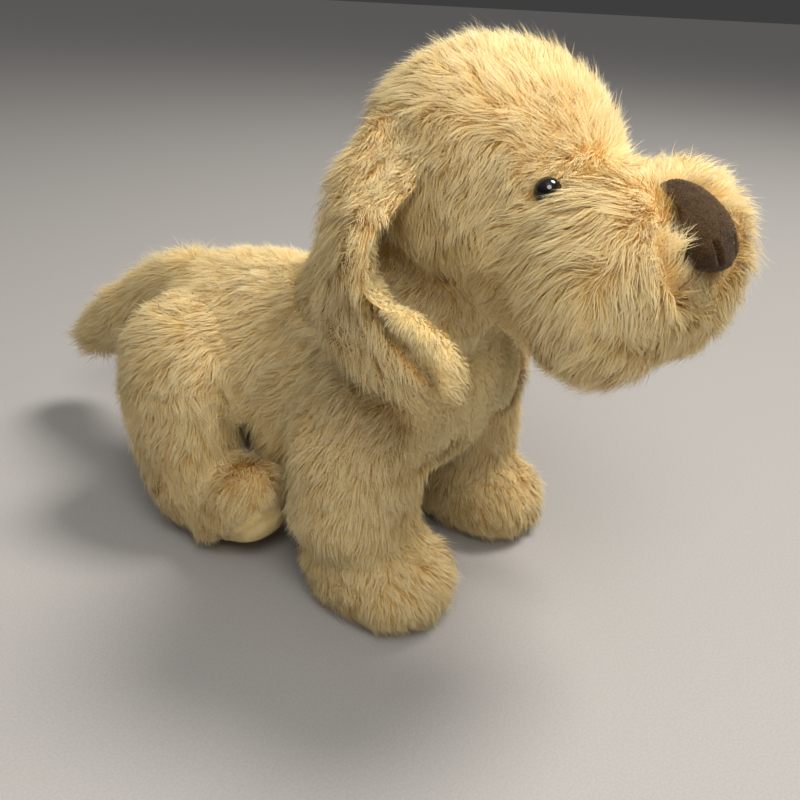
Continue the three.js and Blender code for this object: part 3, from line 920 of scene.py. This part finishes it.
def add_eyes(materials):
    """A domed glossy bead on its shank. The washer behind the cloth keeps its CAD shape."""
    for side in SIDES:
        centre, aim = EYES[side]
        bm = bmesh.new()
        bmesh.ops.create_uvsphere(bm, u_segments=40, v_segments=24, radius=BEAD_RADIUS)
        for vertex in bm.verts:
            if vertex.co.z < 0:
                vertex.co.z *= 0.7
        shank = bmesh.ops.create_cone(
            bm, segments=20, radius1=SHANK_RADIUS, radius2=SHANK_RADIUS, depth=SHANK_LENGTH, cap_ends=True)
        bmesh.ops.translate(bm, verts=shank["verts"], vec=(0, 0, -8 * MM))
        turn = Vector(aim).to_track_quat("Z", "Y").to_matrix().to_4x4()
        bmesh.ops.transform(bm, matrix=turn, verts=bm.verts)
        bmesh.ops.translate(bm, verts=bm.verts, vec=Vector(centre))
        mesh = bpy.data.meshes.new(f"eye_{side}_bead")
        bm.to_mesh(mesh)
        bm.free()
        mesh.shade_smooth()
        obj = new_object(f"eye_{side}_bead", mesh)
        mesh.materials.append(materials["eye"][0])
        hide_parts(f"eye_{side}")
        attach(obj, "head")
        NODES[f"eye_washer_{side}"].data.materials.clear()
        NODES[f"eye_washer_{side}"].data.materials.append(materials["eye_washer"][0])


def add_stuffing(materials):
    """Each filling as one soft, slightly lumpy mass, kept inside its cloth."""
    for name in [n for n in NODES if SLOT_OF[n] == "stuffing"]:
        voxel, below, lumps = FIBRE["nose" if name == "nose_padding" else "body"]
        mesh = remeshed([name], voxel, 3)
        co = coordinates(mesh)
        normals = vertex_normals(mesh)
        depth = lumps * (1 + swirl(co, 90, 4)[:, 0]) + below
        co -= normals * depth[:, None]
        set_coordinates(mesh, neck_taper(co) if name == "neck_stuffing" else co)
        obj = new_object(f"{name}_fibre", mesh)
        mesh.shade_smooth()
        mesh.materials.clear()
        mesh.materials.append(materials["stuffing"][0])
        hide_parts(name)
        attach(obj, BODY_OF[name])


# ---- Stage, light and camera ----
def add_stage():
    bpy.ops.mesh.primitive_plane_add(size=30)
    floor = bpy.context.object
    floor.name = "floor"
    material, tree, shader = principled("pale_floor", 0.85, Specular_IOR_Level=0.2)
    tone = ramp(tree, [(0.4, linear(174, 172, 172)), (0.6, linear(180, 178, 178))])
    tree.links.new(noise_value(tree, 900, 3), tone.inputs["Fac"])
    tree.links.new(tone.outputs["Color"], shader.inputs["Base Color"])
    floor.data.materials.append(material)


def add_light(name, place_at, target, size, power, colour):
    data = bpy.data.lights.new(name, "AREA")
    data.shape = "DISK"
    data.size = size
    data.energy = power
    data.color = colour
    lamp = bpy.data.objects.new(name, data)
    bpy.context.scene.collection.objects.link(lamp)
    lamp.location = place_at
    lamp.visible_camera = False
    lamp.rotation_euler = (Vector(target) - Vector(place_at)).to_track_quat("-Z", "Y").to_euler()


def add_lights():
    world = bpy.data.worlds.new("studio")
    bpy.context.scene.world = world
    world.use_nodes = True
    tree = world.node_tree
    background = tree.nodes["Background"]
    place = tree.nodes.new("ShaderNodeTexCoord")
    split = tree.nodes.new("ShaderNodeSeparateXYZ")
    tree.links.new(place.outputs["Generated"], split.inputs["Vector"])
    sky = ramp(tree, SKY)
    tree.links.new(split.outputs["Z"], sky.inputs["Fac"])
    tree.links.new(sky.outputs["Color"], background.inputs["Color"])
    background.inputs["Strength"].default_value = SKY_STRENGTH
    for name, lamp in LAMPS.items():
        add_light(name, *lamp)


def add_camera():
    """The photographer's view: the lens, and how it stood over the floor beside the puppy."""
    heading, pitch, roll = (math.radians(angle) for angle in (HEADING, PITCH, ROLL))
    away = Vector((math.cos(heading), math.sin(heading), 0))
    right = Vector((math.sin(heading), -math.cos(heading), 0))
    look = away * math.cos(pitch) - Vector((0, 0, math.sin(pitch)))
    up = away * math.sin(pitch) + Vector((0, 0, math.cos(pitch)))
    cam_right = right * math.cos(roll) + up * math.sin(roll)
    cam_up = up * math.cos(roll) - right * math.sin(roll)
    data = bpy.data.cameras.new("camera")
    data.lens = LENS
    data.sensor_width = 36
    data.clip_start = 0.01
    camera = bpy.data.objects.new("camera", data)
    bpy.context.scene.collection.objects.link(camera)
    shoulders = Vector((MIDLINE, JOINTS["front_leg_swing_left"]["pos_m"][1] + CAMERA_SHOULDERS, 0))
    camera.location = shoulders - away * CAMERA_BACK - right * CAMERA_LEFT + Vector((0, 0, CAMERA_HEIGHT))
    columns = [cam_right, cam_up, -look]
    camera.rotation_mode = "QUATERNION"
    camera.rotation_quaternion = Matrix(columns).transposed().to_quaternion()
    bpy.context.scene.camera = camera


bpy.context.scene.view_settings.view_transform = "Standard"
add_camera()
add_stage()
add_lights()
finishes = make_materials()
add_panels(make_forms(), finishes)
add_nose(finishes)
add_eyes(finishes)
add_stuffing(finishes)
